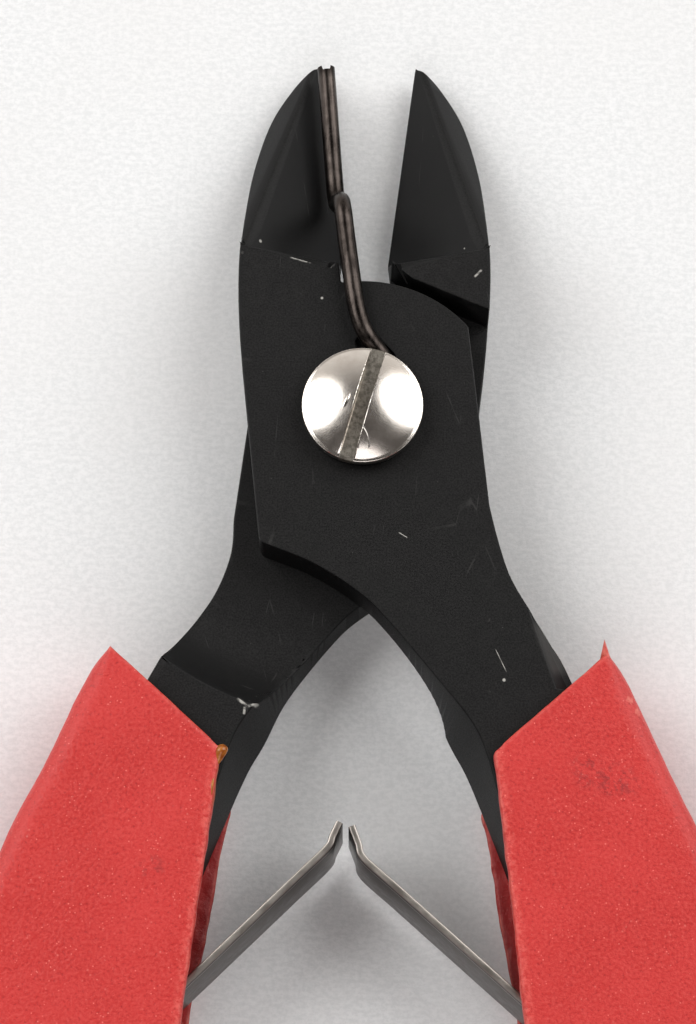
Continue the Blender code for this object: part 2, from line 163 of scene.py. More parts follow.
NECK_OUTER = [(11.35, -19.3), (10.3, -16.9), (9.2, -14.6), (8.25, -12.3), (7.75, -9.8)]
NECK_SHIFT = {1: 0.15, -1: -0.3}   # how far each neck's outer side stands off the common line
GRIP_OUTER = through([(14.0, -18.1), (14.9, -19.5), (15.8, -22.0), (17.1, -26.3), (18.75, -31.3),
                      (20.25, -38.0), (20.9, -46.0), (20.65, -56.0), (19.0, -70.0),
                      (16.7, -83.0), (14.75, -92.5)])


def tang_outer(side):
    neck = [(x + NECK_SHIFT[side], y) for x, y in NECK_OUTER]
    return through(TANG_OUTER + neck + [(HALF_WIDTH, -7.4)])


def lever_outline(side, inner):
    """One forging seen from above: jaw on the left, handle on the right, closed position."""
    corner = math.degrees(math.acos(HALF_WIDTH / LAP_RADIUS))
    inner_angle = 90.0 + math.degrees(math.asin(ROOT_GAP / LAP_RADIUS))
    outline = [(-EDGE_GAP, 27.5)] + JAW_OUTER
    outline += [(-HALF_WIDTH, -7.9), (-7.5, -8.3)] + through(DIAGONAL_START + inner)
    outline += TANG_INNER + tang_outer(side)
    outline += arc(LAP_RADIUS, corner, inner_angle, 24)
    return outline + [(-ROOT_GAP, 11.2), (-EDGE_GAP, 12.7)]


def grip_outline():
    end = arc(4.6, 8.0, -82.0, 14, (9.9, -95.2)) + arc(3.6, 262.0, 180.0, 12, (9.4, -96.2))
    return GRIP_OUTER + end + [(GRIP_INNER_X, -92.0), (GRIP_INNER_X, -24.05)]


def inset(outline, amounts):
    """The outline drawn in, each point by its own amount; the outline runs clockwise."""
    out = []
    for i, (point, amount) in enumerate(zip(outline, amounts)):
        before = Vector(outline[i - 1])
        after = Vector(outline[(i + 1) % len(outline)])
        run = (after - before).normalized()
        out.append(tuple(Vector(point) + Vector((run.y, -run.x)) * amount))
    return out


def grip_levels():
    """The sleeve's outline at rising heights, drawn in towards the top and bottom."""
    outline = grip_outline()
    shares = []
    for i, (x, y) in enumerate(outline):
        near_mouth = GRIP_LIP + (1.0 - GRIP_LIP) * min(1.0, i / GRIP_MOUTH_POINTS)
        shares.append(GRIP_LIP if x < GRIP_INNER_X + 0.01 else near_mouth)
    levels = []
    for k in range(GRIP_LAYERS):
        angle = math.radians(90.0 * k / (GRIP_LAYERS - 1))
        amount = GRIP_SHOULDER * (1.0 - math.sin(angle))
        height = GRIP_BOTTOM + GRIP_SHOULDER * (1.0 - math.cos(angle))
        levels.append((inset(outline, [share * amount for share in shares]), height))
    top = [(points, GRIP_TOP + GRIP_BOTTOM - height) for points, height in levels[::-1]]
    return levels + top


def lower_flange_outline():
    """The lower flange reaches a little further in than the upper one near the mouth."""
    edge = through([(5.1, -26.2), (5.35, -28.6), (5.45, -32.3), (5.6, -35.2), (GRIP_INNER_X, -38.5)])
    return [(9.0, -26.0)] + edge + [(9.0, -38.5)]


def grip_cavity_outline():
    """The tang's own outline with clearance, left open at the mouth and along the inner side."""
    outer = [(x + GRIP_FIT, y) for x, y in tang_outer(1) if y < -22.0]
    inner = [(x - GRIP_FIT, y) for x, y in TANG_INNER if y < SLOT_END_Y]
    open_side = [(12.6, -19.0), (9.0, -14.0), (2.0, -16.0), (2.0, SLOT_END_Y),
                 (inner[0][0], SLOT_END_Y)]
    end = [(7.9 - GRIP_FIT, -94.5 - GRIP_FIT), (12.6 + GRIP_FIT, -94.5 - GRIP_FIT)]
    return outer + open_side + inner + end


# ---------------------------------------------------------------- mesh helpers

def mesh_object(name, bm):
    mesh = bpy.data.meshes.new(name)
    bmesh.ops.recalc_face_normals(bm, faces=bm.faces)
    bm.to_mesh(mesh)
    bm.free()
    made = bpy.data.objects.new(name, mesh)
    bpy.context.scene.collection.objects.link(made)
    return made


def skin(bm, rings):
    """Four-sided faces between each ring of corners and the next."""
    for a, b in zip(rings, rings[1:]):
        for i in range(len(a)):
            j = (i + 1) % len(a)
            bm.faces.new((a[i], a[j], b[j], b[i]))


def close(bm, rings):
    """A face over the first ring and another over the last."""
    bm.faces.new(rings[0])
    bm.faces.new(rings[-1])


def plate(name, outline, low, high, side=1):
    """A flat outline between two heights; side -1 mirrors it across the centre line."""
    bm = bmesh.new()
    rings = [[bm.verts.new((side * x * MM, y * MM, z * MM)) for x, y in outline]
             for z in (low, high)]
    close(bm, rings)
    skin(bm, rings)
    return mesh_object(name, bm)


def loft(name, levels, side):
    """Outlines of as many points at rising heights, each joined to the next by a ruled side."""
    bm = bmesh.new()
    rings = [[bm.verts.new((side * x * MM, y * MM, z * MM)) for x, y in outline]
             for outline, z in levels]
    close(bm, rings)
    for lower, upper in zip(rings, rings[1:]):
        for i, (a, b) in enumerate(zip(lower, upper)):
            bm.faces.new((a, b, upper[i - 1]))
            bm.faces.new((a, upper[i - 1], lower[i - 1]))
    return mesh_object(name, bm)


def hull(name, points):
    """The convex solid around a few corner points."""
    bm = bmesh.new()
    for point in points:
        bm.verts.new(Vector(point) * MM)
    found = bmesh.ops.convex_hull(bm, input=bm.verts)
    loose = {v for v in found["geom_interior"] if isinstance(v, bmesh.types.BMVert)}
    bmesh.ops.delete(bm, geom=list(loose), context="VERTS")
    return mesh_object(name, bm)


def circle(steps):
    """Corners round a circle of radius 1, without the last one, which is the first again."""
    return arc(1.0, 0.0, 360.0, steps)[:-1]


def turned(name, profile, steps):
    """A profile of (radius, height) points turned about Z; radius 0 closes it at a pole."""
    bm = bmesh.new()
    rings = []
    for r, z in profile:
        if r == 0.0:
            rings.append([bm.verts.new((0.0, 0.0, z * MM))])
        else:
            rings.append([bm.verts.new((r * x * MM, r * y * MM, z * MM)) for x, y in circle(steps)])
    for upper, lower in zip(rings, rings[1:]):
        for i in range(steps):
            a, b = upper[i % len(upper)], upper[(i + 1) % steps % len(upper)]
            c, d = lower[(i + 1) % steps % len(lower)], lower[i % len(lower)]
            face = [v for k, v in enumerate((a, b, c, d)) if v not in (a, b, c, d)[:k]]
            if len(face) > 2:
                bm.faces.new(face)
    return mesh_object(name, bm)


def swept(name, line, section):
    """A section of (across, up) points carried along a 3-D line, kept upright."""
    bm = bmesh.new()
    rings = []
    for i, place in enumerate(line):
        before, after = Vector(line[max(i - 1, 0)]), Vector(line[min(i + 1, len(line) - 1)])
        run = (after - before).normalized()
        across = Vector((-run.y, run.x, 0.0)).normalized()
        up = run.cross(across) * (-1 if run.cross(across).z < 0 else 1)
        rings.append([bm.verts.new((Vector(place) + across * u + up * v) * MM)
                      for u, v in section])
    skin(bm, rings)
    close(bm, rings)
    return mesh_object(name, bm)


def tube(name, points, radius, sides=24):
    """A round wire along a 3-D line, without twist."""
    bm = bmesh.new()
    places = [Vector(p) for p in points]
    side = None
    rings = []
    for i, place in enumerate(places):
        run = (places[min(i + 1, len(places) - 1)] - places[max(i - 1, 0)]).normalized()
        side = Vector((1, 0, 0)) if side is None else side
        side = (side - run * side.dot(run)).normalized()
        other = run.cross(side)
        rings.append([bm.verts.new((place + side * u * radius + other * v * radius) * MM)
                      for u, v in circle(sides)])
    skin(bm, rings)
    close(bm, rings)
    return mesh_object(name, bm)


def baked(item):
    """Applies every modifier and leaves the result in the object's own mesh."""
    bpy.context.view_layer.update()
    graph = bpy.context.evaluated_depsgraph_get()
    mesh = bpy.data.meshes.new_from_object(item.evaluated_get(graph))
    item.modifiers.clear()
    item.data = mesh
    return item


def boolean(target, other, operation="DIFFERENCE"):
    step = target.modifiers.new("shape", "BOOLEAN")
    step.operation = operation
    step.object = other
    step.solver = "EXACT"
    baked(target)
    bpy.data.objects.remove(other, do_unlink=True)
    return target


def tidy_mesh(item, weld=0.012):
    """Welds the boolean's slivers and joins its flat fragments into single faces."""
    bm = bmesh.new()
    bm.from_mesh(item.data)
    bmesh.ops.remove_doubles(bm, verts=bm.verts, dist=weld * MM)
    bmesh.ops.dissolve_degenerate(bm, dist=weld * MM, edges=bm.edges)
    bmesh.ops.dissolve_limit(bm, angle_limit=math.radians(0.4), verts=bm.verts, edges=bm.edges)
    bm.to_mesh(item.data)
    bm.free()
    return item


def split_across(item, heights):
    """Divides every face where it crosses each distance along Y, so that long faces stay simple."""
    bm = bmesh.new()
    bm.from_mesh(item.data)
    for y in heights:
        geometry = bm.verts[:] + bm.edges[:] + bm.faces[:]
        bmesh.ops.bisect_plane(bm, geom=geometry, dist=1e-7, plane_co=(0.0, y * MM, 0.0),
                               plane_no=(0.0, 1.0, 0.0))
    bm.to_mesh(item.data)
    bm.free()


def rounded(item, width, angle=28.0):
    """Rounds every edge that is sharper than an angle, and shades the flat faces as flat."""
    edge = item.modifiers.new("edge", "BEVEL")
    edge.width = width * MM
    edge.segments = 2
    edge.limit_method = "ANGLE"
    edge.angle_limit = math.radians(angle)
    edge.use_clamp_overlap = False
    edge.miter_outer = "MITER_ARC"
    item.data.shade_smooth()
    baked(item)
    item.data.shade_smooth()
    item.data.set_sharp_from_angle(angle=math.radians(40.0))
    weighted = item.modifiers.new("normals", "WEIGHTED_NORMAL")
    weighted.keep_sharp = True
    return item


def turn(item, degrees):
    """Turns the object's mesh about the pivot axis."""
    item.data.transform(Matrix.Rotation(math.radians(degrees), 4, "Z"))
    return item


def place(item, body, nodes, slot, finish):
    """Gives a piece its finish and its body, and hides the CAD nodes it stands for; the slot argument
    is not used.
    """
    item.data.materials.clear()
    item.data.materials.append(finish)
    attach(item, body)
    if nodes:
        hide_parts(*nodes)
    return item


# ---------------------------------------------------------------- material helpers

class Nodes:
    """A short way to write a material's node tree."""

    def __init__(self, name):
        self.material = bpy.data.materials.new(name)
        self.material.use_nodes = True
        self.tree = self.material.node_tree
        self.shader = self.tree.nodes["Principled BSDF"]
        self.place = self.node("ShaderNodeTexCoord").outputs["Object"]

    def node(self, kind, **settings):
        made = self.tree.nodes.new(kind)
        for key, value in settings.items():
            setattr(made, key, value)
        return made

    def feed(self, socket, value):
        if isinstance(value, bpy.types.NodeSocket):
            self.tree.links.new(value, socket)
        else:
            socket.default_value = value

    def stretch(self, scale, rotation=(0.0, 0.0, 0.0)):
        made = self.node("ShaderNodeMapping")
        self.feed(made.inputs["Vector"], self.place)
        made.inputs["Scale"].default_value = scale
        made.inputs["Rotation"].default_value = [math.radians(r) for r in rotation]
        return made.outputs["Vector"]

    def noise(self, size, detail=3.0, rough=0.5, where=None):
        """Noise with features about size millimetres across."""
        made = self.node("ShaderNodeTexNoise")
        self.feed(made.inputs["Vector"], where or self.place)
        made.inputs["Scale"].default_value = 1.0 / (size * MM)
        made.inputs["Detail"].default_value = detail
        made.inputs["Roughness"].default_value = rough
        return made.outputs["Fac"]

    def cells(self, size, randomness=1.0, feature="F1", output="Distance", where=None):
        made = self.node("ShaderNodeTexVoronoi", feature=feature)
        self.feed(made.inputs["Vector"], where or self.place)
        made.inputs["Scale"].default_value = 1.0 / (size * MM)
        made.inputs["Randomness"].default_value = randomness
        return made.outputs[output]

    def math(self, operation, a, b=0.0):
        made = self.node("ShaderNodeMath", operation=operation)
        self.feed(made.inputs[0], a)
        self.feed(made.inputs[1], b)
        return made.outputs[0]

    def times(self, a, b):
        return self.math("MULTIPLY", a, b)

    def plus(self, a, b):
        return self.math("ADD", a, b)

    def axes(self, vector=None):
        """The X, Y and Z of a vector, or of the place on the piece."""
        made = self.node("ShaderNodeSeparateXYZ")
        self.feed(made.inputs[0], vector or self.place)
        return made.outputs

    def ramp(self, value, low, high, start=0.0, end=1.0):
        made = self.node("ShaderNodeMapRange", interpolation_type="SMOOTHSTEP")
        self.feed(made.inputs["Value"], value)
        for key, number in (("From Min", low), ("From Max", high), ("To Min", start),
                            ("To Max", end)):
            made.inputs[key].default_value = number
        return made.outputs["Result"]

    def mix(self, factor, a, b):
        made = self.node("ShaderNodeMix", data_type="RGBA")
        self.feed(made.inputs["Factor"], factor)
        for socket, value in ((made.inputs[6], a), (made.inputs[7], b)):
            self.feed(socket, value if isinstance(value, bpy.types.NodeSocket) else (*value, 1.0))
        return made.outputs[2]

    def near(self, point, inner, outer):
        """1 within inner millimetres of a point, falling to 0 at outer."""
        gap = self.node("ShaderNodeVectorMath", operation="DISTANCE")
        self.feed(gap.inputs[0], self.place)
        gap.inputs[1].default_value = Vector(point) * MM
        return self.ramp(gap.outputs["Value"], inner * MM, outer * MM, 1.0, 0.0)

    def stroke(self, start, end, width):
        """1 on the straight line between two points, seen along Z, falling to 0 at width."""
        a, b = Vector(start), Vector(end)
        angle = math.atan2(b.y - a.y, b.x - a.x)
        middle = (a + b) / 2
        shift = self.node("ShaderNodeVectorMath", operation="SUBTRACT")
        self.feed(shift.inputs[0], self.place)
        shift.inputs[1].default_value = (middle.x * MM, middle.y * MM, 0.0)
        spin = self.node("ShaderNodeVectorRotate", rotation_type="Z_AXIS")
        self.feed(spin.inputs["Vector"], shift.outputs[0])
        spin.inputs["Angle"].default_value = -angle
        split = self.axes(spin.outputs[0])
        along = self.math("ABSOLUTE", split["X"])
        across = self.math("ABSOLUTE", split["Y"])
        half = (b - a).length / 2 * MM
        inside = self.ramp(along, half * 0.6, half, 1.0, 0.0)
        thin = self.ramp(across, width * 0.3 * MM, width * MM, 1.0, 0.0)
        return self.times(inside, thin)

    def either(self, *values):
        out = values[0]
        for value in values[1:]:
            out = self.math("MAXIMUM", out, value)
        return out

    def edges(self, low, high):
        return self.ramp(self.node("ShaderNodeNewGeometry").outputs["Pointiness"], low, high)

    def bump(self, *layers):
        """Layers of (height value, depth in millimetres, strength)."""
        last = None
        for height, depth, strength in layers:
            made = self.node("ShaderNodeBump")
            self.feed(made.inputs["Height"], height)
            made.inputs["Distance"].default_value = depth * MM
            made.inputs["Strength"].default_value = strength
            if last is not None:
                self.feed(made.inputs["Normal"], last)
            last = made.outputs["Normal"]
        self.feed(self.shader.inputs["Normal"], last)

    def surface(self, color, roughness, metallic=0.0, specular=0.5, **others):
        self.feed(self.shader.inputs["Base Color"], color)
        self.feed(self.shader.inputs["Roughness"], roughness)
        self.shader.inputs["Metallic"].default_value = metallic
        self.shader.inputs["Specular IOR Level"].default_value = specular
        for key, value in others.items():
            self.shader.inputs[key.replace("_", " ")].default_value = value
        return self.material


def black_oxide(name, glints_and_marks, dots, chamfer_highlight=None):
    """Ground and blackened steel: fine grained, finely scratched, nicked and pricked bright at a few
    spots, with painted shade on its sloping and steep faces, painted glints on a few edges and an
    optional painted highlight strip.
    """
    n = Nodes(name)
    mottle = n.noise(1.1, 4.0, 0.65)
    grain = n.noise(0.11, 3.0, 0.65)
    ground = n.noise(0.4, 2.0, 0.5, n.stretch((1.0, 0.08, 1.0), (0, 0, 24)))
    tone = n.plus(n.times(mottle, 0.12), n.times(grain, 0.88))
    color = n.mix(n.ramp(tone, 0.34, 0.66), (0.0040, 0.0040, 0.0041), (0.0155, 0.0152, 0.0150))
    # Painted shade: faces that tilt away from straight up are painted darker, and steep side walls
    # nearly black.
    facing = n.axes(n.node("ShaderNodeNewGeometry").outputs["True Normal"])["Z"]
    sloping = n.ramp(facing, 0.97, 0.82, 0.0, 0.62)
    color = n.mix(sloping, color, (0.0030, 0.0030, 0.0032))
    color = n.mix(n.ramp(facing, 0.5, 0.2, 0.0, 0.85), color, (0.0012, 0.0012, 0.0013))
    far = n.ramp(n.cells(1.9), 0.035, 0.075, 1.0, 0.0)
    fine = n.ramp(n.cells(0.6), 0.03, 0.09, 1.0, 0.0)
    few = n.ramp(n.noise(3.1, 2.0), 0.54, 0.66)
    specks = n.either(n.times(far, few), n.times(fine, n.times(few, 0.5)))
    hair = n.cells(2.4, feature="DISTANCE_TO_EDGE", where=n.stretch((1.0, 0.22, 1.0), (0, 0, 31)))
    hairline = n.times(n.ramp(hair, 0.004, 0.012, 1.0, 0.0), n.ramp(n.noise(2.6, 1.0), 0.58, 0.7))
    color = n.mix(n.times(hairline, 0.22), color, (0.09, 0.088, 0.085))
    color = n.mix(n.times(specks, 0.55), color, (0.18, 0.175, 0.165))
    worn = n.times(n.edges(0.53, 0.62), n.ramp(n.noise(0.8, 3.0), 0.35, 0.65))
    color = n.mix(n.times(worn, 0.18), color, (0.06, 0.058, 0.056))
    upper = n.ramp(n.axes()["Z"], 5.4 * MM, 5.9 * MM)
    # Bright strokes and dots: the strokes are partly painted glints along edges and partly real
    # scratches and a nick; the dots are real pricks and specks.
    bright = n.either(*[n.stroke(*mark) for mark in glints_and_marks])
    bright = n.times(bright, n.ramp(n.noise(0.35, 2.0), 0.25, 0.6))
    pricks = n.either(*[n.near((x, y, z), 0.4 * r, r) for x, y, z, r in dots])
    bright = n.either(n.times(bright, upper), pricks)
    # Painted highlight: a lighter strip along the front neck's chamfer facet, where that facet catches
    # the light.
    if chamfer_highlight:
        color = n.mix(n.times(n.stroke(*chamfer_highlight), 0.5), color, (0.075, 0.073, 0.070))
    color = n.mix(bright, color, (0.42, 0.41, 0.38))
    rough = n.ramp(grain, 0.3, 0.7, 0.46, 0.58)
    n.bump((grain, 0.014, 0.4), (ground, 0.008, 0.2), (hairline, -0.01, 0.4))
    return n.surface(color, rough, 0.0, 0.17)


def nickel():
    """Polished plate with fine wear, a scored slot floor and a curved scratch."""
    n = Nodes("screw_nickel")
    fine = n.noise(0.12, 4.0, 0.7)
    smear = n.noise(1.3, 3.0, 0.6)
    split = n.axes()
    floor = n.ramp(split["Z"], (HEAD_TOP - SLOT_DEPTH + 0.03) * MM,
                   (HEAD_TOP - SLOT_DEPTH + 0.12) * MM, 1.0, 0.0)
    lean = math.radians(SLOT_ANGLE)
    across = n.math("ABSOLUTE", n.plus(n.times(split["X"], math.cos(lean)),
                                       n.times(split["Y"], math.sin(lean))))
    inside = n.ramp(across, (SLOT_WIDTH / 2 - 0.05) * MM, (SLOT_WIDTH / 2 - 0.01) * MM, 1.0, 0.0)
    head = n.ramp(split["Z"], HEAD_UNDERSIDE * MM, (HEAD_UNDERSIDE + 0.02) * MM)
    slot_floor = n.times(n.times(floor, head), inside)
    pits = n.ramp(n.noise(0.28, 3.0, 0.7), 0.35, 0.62)
    color = n.mix(n.ramp(smear, 0.3, 0.7), (0.84, 0.79, 0.73), (0.75, 0.69, 0.63))
    dull = n.mix(pits, (0.13, 0.118, 0.100), (0.24, 0.22, 0.19))
    color = n.mix(slot_floor, color, dull)
    ring = n.node("ShaderNodeVectorMath", operation="DISTANCE")
    n.feed(ring.inputs[0], n.place)
    ring.inputs[1].default_value = Vector((-1.3, -3.1, HEAD_TOP)) * MM
    off = n.math("ABSOLUTE", n.math("SUBTRACT", ring.outputs["Value"], 1.9 * MM))
    scratch = n.times(n.ramp(off, 0.02 * MM, 0.06 * MM, 1.0, 0.0),
                      n.near((0.42, -2.3, HEAD_TOP - 0.5), 0.5, 0.95))
    color = n.mix(n.times(scratch, 0.6), color, (0.95, 0.92, 0.88))
    rough = n.ramp(n.plus(fine, smear), 0.6, 1.4, 0.17, 0.27)
    rough = n.plus(rough, n.times(slot_floor, 0.3))
    swirl = n.noise(0.5, 2.0, 0.5, n.stretch((1.0, 0.15, 1.0), (0, 0, -15)))
    n.bump((fine, 0.003, 0.3), (swirl, 0.008, 0.25), (scratch, -0.02, 0.6),
           (n.times(pits, slot_floor), 0.02, 0.4))
    return n.surface(color, rough, 1.0, 0.5)


def drawn_steel(name, dark, light, direction, rough_low, rough_high, specks=0.0, darkened_spot=None):
    """Bright or blued steel with fine lines along the way it was drawn or rolled."""
    n = Nodes(name)
    lines = n.noise(0.30, 3.0, 0.65, n.stretch(direction))
    spots = n.noise(0.9, 3.0, 0.6)
    fine = n.noise(0.10, 2.0, 0.6)
    tone = n.plus(n.times(lines, 0.6), n.times(spots, 0.4))
    color = n.mix(n.ramp(tone, 0.35, 0.65), dark, light)
    if specks:
        dots = n.ramp(n.cells(0.55), 0.04, 0.12, 1.0, 0.0)
        dots = n.times(dots, n.ramp(n.noise(1.4, 1.0), 0.5, 0.6, 0.0, specks))
        color = n.mix(dots, color, tuple(0.35 * v for v in dark))
    worn = n.edges(0.52, 0.6)
    color = n.mix(n.times(worn, 0.5), color, tuple(min(1.0, 1.8 * v) for v in light))
    # Colour darkened around one given point; on the wire, around its nipped end.
    if darkened_spot:
        color = n.mix(n.times(n.near(*darkened_spot), 0.8), color, tuple(0.4 * v for v in dark))
    rough = n.ramp(n.plus(lines, fine), 0.6, 1.4, rough_low, rough_high)
    n.bump((lines, 0.010, 0.3), (fine, 0.003, 0.3))
    return n.surface(color, rough, 1.0, 0.5)


def rolled_strip():
    """Spring strip: a bright top edge, partly a bright slit edge and partly painted highlight, a
    painted dark band and a thin painted bright line below it, then a dull grey-brown face.
    """
    n = Nodes("spring_strip")
    lines = n.noise(0.22, 3.0, 0.65, n.stretch((0.2, 0.2, 1.0)))
    spots = n.noise(0.7, 3.0, 0.6)
    height = n.math("SUBTRACT", SPRING_HIGH * MM, n.axes()["Z"])
    height = n.plus(height, n.times(spots, 0.10 * MM))
    tone = n.plus(n.times(lines, 0.6), n.times(spots, 0.4))
    color = n.mix(n.ramp(tone, 0.35, 0.65), (0.055, 0.046, 0.042), (0.115, 0.100, 0.091))
    # Painted light at the top edge: the top is painted bright, partly slit-edge finish and partly
    # painted highlight; below it a dark band of painted shade and a thin painted highlight on the
    # burr.
    thin = n.times(n.ramp(height, 0.50 * MM, 0.62 * MM), n.ramp(height, 0.74 * MM, 0.62 * MM))
    dark = n.times(n.ramp(height, 0.16 * MM, 0.24 * MM), n.ramp(height, 0.56 * MM, 0.44 * MM))
    edge = n.ramp(height, 0.17 * MM, 0.08 * MM)
    color = n.mix(n.times(thin, 0.75), color, (0.50, 0.46, 0.43))
    color = n.mix(n.times(dark, 0.8), color, (0.045, 0.038, 0.036))
    color = n.mix(n.times(edge, 0.85), color, (0.50, 0.46, 0.42))
    rough = n.ramp(n.plus(lines, spots), 0.6, 1.4, 0.28, 0.44)
    n.bump((lines, 0.012, 0.35), (spots, 0.02, 0.25), (thin, 0.02, 0.4))
    return n.surface(color, rough, 1.0, 0.5)


def at_rest(side, x, y):
    """A place on one half's drawing, moved to where it is at rest in the row frame."""
    angle = math.radians(side * HALF_OPENING)
    return (side * x * math.cos(angle) - y * math.sin(angle),
            side * x * math.sin(angle) + y * math.cos(angle))


def vinyl(name, side, smudges, glue):
    """Soft red sleeve: fine leathery grain with painted glints, painted highlight along the inner top
    edge and on rubbed edges, painted shade on the lower flange, dirt and dried glue.
    """
    n = Nodes(name)
    grain = n.noise(0.22, 3.0, 0.65)
    pebble = n.cells(0.34)
    cloud = n.noise(6.0, 3.0, 0.55)
    color = n.mix(n.ramp(cloud, 0.3, 0.7), (0.53, 0.026, 0.023), (0.59, 0.032, 0.029))
    color = n.mix(n.ramp(grain, 0.40, 0.70, 0.0, 0.60), color, (0.66, 0.070, 0.060))
    color = n.mix(n.ramp(grain, 0.44, 0.28, 0.0, 0.50), color, (0.28, 0.014, 0.014))
    # Painted highlights: pale specks and sparkle stand in for glints on the grain.
    pale = n.times(n.ramp(n.cells(0.62), 0.05, 0.16, 1.0, 0.0),
                   n.ramp(n.noise(1.7, 2.0), 0.5, 0.62))
    color = n.mix(n.times(pale, 0.35), color, (0.80, 0.25, 0.21))
    sparkle = n.times(n.ramp(n.cells(0.30), 0.10, 0.22, 1.0, 0.0),
                      n.ramp(n.noise(0.8, 2.0), 0.50, 0.60))
    color = n.mix(n.times(sparkle, 0.55), color, (0.90, 0.26, 0.22))
    height = n.axes()["Z"]
    upper = n.ramp(height, 6.6 * MM, 7.0 * MM)
    # Painted highlight along the sleeve's inner top edge, in flecks.
    lip = n.stroke(at_rest(side, 6.15, 20.0), at_rest(side, 6.15, -92.0), 0.55)
    flecks = n.ramp(n.noise(0.32, 3.0, 0.7), 0.42, 0.60)
    lip = n.times(n.times(lip, upper), flecks)
    color = n.mix(n.times(lip, 0.30), color, (0.90, 0.20, 0.16))
    # Painted shade on the lower flange along the inner side, under the upper flange.
    inner = n.stroke(at_rest(side, 5.4, 20.0), at_rest(side, 5.4, -92.0), 1.6)
    lower = n.times(inner, n.ramp(height, 0.9 * MM, 1.4 * MM, 1.0, 0.0))
    color = n.mix(n.times(lower, 0.6), color, (0.16, 0.006, 0.008))
    mouth = n.stroke(at_rest(side, 14.6, -17.7), at_rest(side, 5.2, -24.5), 0.17)
    mouth = n.times(mouth, n.times(upper, n.ramp(n.noise(0.9, 2.0), 0.35, 0.55)))
    color = n.mix(n.times(mouth, 0.7), color, (0.85, 0.13, 0.035))
    # Edges painted paler: partly rubbed wear, partly painted highlight.
    rubbed = n.times(n.edges(0.51, 0.58), n.ramp(n.noise(0.5, 3.0), 0.3, 0.6))
    color = n.mix(n.times(rubbed, 0.65), color, (0.80, 0.22, 0.17))
    dirt = n.either(*[n.times(n.near(p, inner, outer), depth)
                      for p, inner, outer, depth in smudges])
    dirt = n.times(dirt, n.ramp(n.noise(0.55, 4.0, 0.7), 0.46, 0.62))
    color = n.mix(dirt, color, (0.20, 0.020, 0.022))
    if glue:
        start, end, width = glue
        bead = n.times(n.stroke(start, end, width), n.ramp(n.noise(1.1, 2.0), 0.3, 0.55))
        color = n.mix(n.times(bead, 0.75), color, (0.42, 0.085, 0.015))
    rough = n.ramp(n.plus(grain, cloud), 0.7, 1.3, 0.36, 0.50)
    n.bump((pebble, 0.04, 0.4), (grain, 0.09, 0.7), (n.noise(1.6, 2.0), 0.06, 0.3))
    return n.surface(color, rough, 0.0, 0.36)


def amber():
    """Dried glue, clear enough to glow a little."""
    n = Nodes("glue_amber")
    color = n.mix(n.ramp(n.noise(0.4, 2.0), 0.3, 0.7), (0.34, 0.085, 0.012), (0.62, 0.22, 0.04))
    n.bump((n.noise(0.3, 2.0), 0.04, 0.4))
    return n.surface(color, 0.22, 0.0, 0.5, Transmission_Weight=0.25, IOR=1.48)


def paper():
    """Pale paper with a fine grain and a faint weave."""
    n = Nodes("paper")
    fibre = n.noise(0.30, 5.0, 0.7)
    cloud = n.noise(14.0, 3.0, 0.5)
    weave = n.noise(0.28, 2.0, 0.5, n.stretch((0.45, 1.0, 1.0)))
    tone = n.plus(fibre, n.times(weave, 0.6))
    color = n.mix(n.ramp(tone, 0.62, 0.98), (0.76, 0.77, 0.775), (0.86, 0.865, 0.87))
    color = n.mix(n.ramp(cloud, 0.35, 0.65, 0.0, 0.3), color, (0.81, 0.80, 0.795))
    n.bump((fibre, 0.06, 0.4), (weave, 0.03, 0.3), (n.noise(2.5, 3.0), 0.10, 0.3))
    return n.surface(color, 0.85, 0.0, 0.2)


# ---------------------------------------------------------------- the levers

def recess_cutter(side, top):
    """The lap recess: turned about the pivot, with a rounded run-out and the jaw's shoulder."""
    depth = THICKNESS / 2 + LAP_GAP / 2
    run = RECESS_OUT - RECESS_FLAT
    radius = (depth ** 2 + run ** 2) / (2 * depth)
    sweep = math.degrees(math.asin(run / radius))
    rise = arc(radius, -90.0, -90.0 + sweep, 14, (RECESS_FLAT, radius))
    rim = RECESS_OUT + RECESS_LIP
    profile = [(0.0, depth + 2.0), (rim, depth + 2.0), (rim, depth + 0.35)]
    profile += rise[::-1] + [(0.0, 0.0)]
    floor = THICKNESS - depth
    if top:
        heights = [(r, z + floor) for r, z in profile]
    else:
        heights = [(r, depth - z) for r, z in profile][::-1]
    disc = turned("recess", heights, 180)
    keep = [(-side * 12.0, 6.85), (-side * 2.05, 9.75), (-side * 0.74, 10.6),
            (side * 3.0, 13.2), (side * 3.0, 40.0), (-side * 30.0, 40.0), (-side * 30.0, 6.85)]
    return boolean(disc, plate("shoulder", keep, -5.0, 12.0))


def jaw_hollow_cutter(side):
    """The sloping face that runs down to the cutting edge, with a leaning wall at its root."""
    corners = []
    for x in (-1.5, 9.5):
        root_y = 10.5 + 0.3 * x
        low = EDGE_HEIGHT + BEVEL_RISE * (x - EDGE_GAP)
        for z in (low, 9.5):
            corners.append((-side * x, root_y + (THICKNESS - z) * 0.36, z))
            corners.append((-side * x, 31.5, z))
    return hull("hollow", corners)


def jaw_chamfer_cutter(side):
    """The outer facet of the jaw, below the ridge that runs from the shoulder to the tip."""
    along = RIDGE_TIP - RIDGE_ROOT
    corners = []
    for end in (RIDGE_ROOT - along * 0.25, RIDGE_TIP + along * 0.45):
        for step in ((0, 0, 0), (7.0, 2.5, -8.4), (7.0, 2.5, 14.0), (0, 0, 14.0)):
            spot = end + Vector(step)
            corners.append((-side * spot.x, spot.y, spot.z))
    return hull("chamfer", corners)


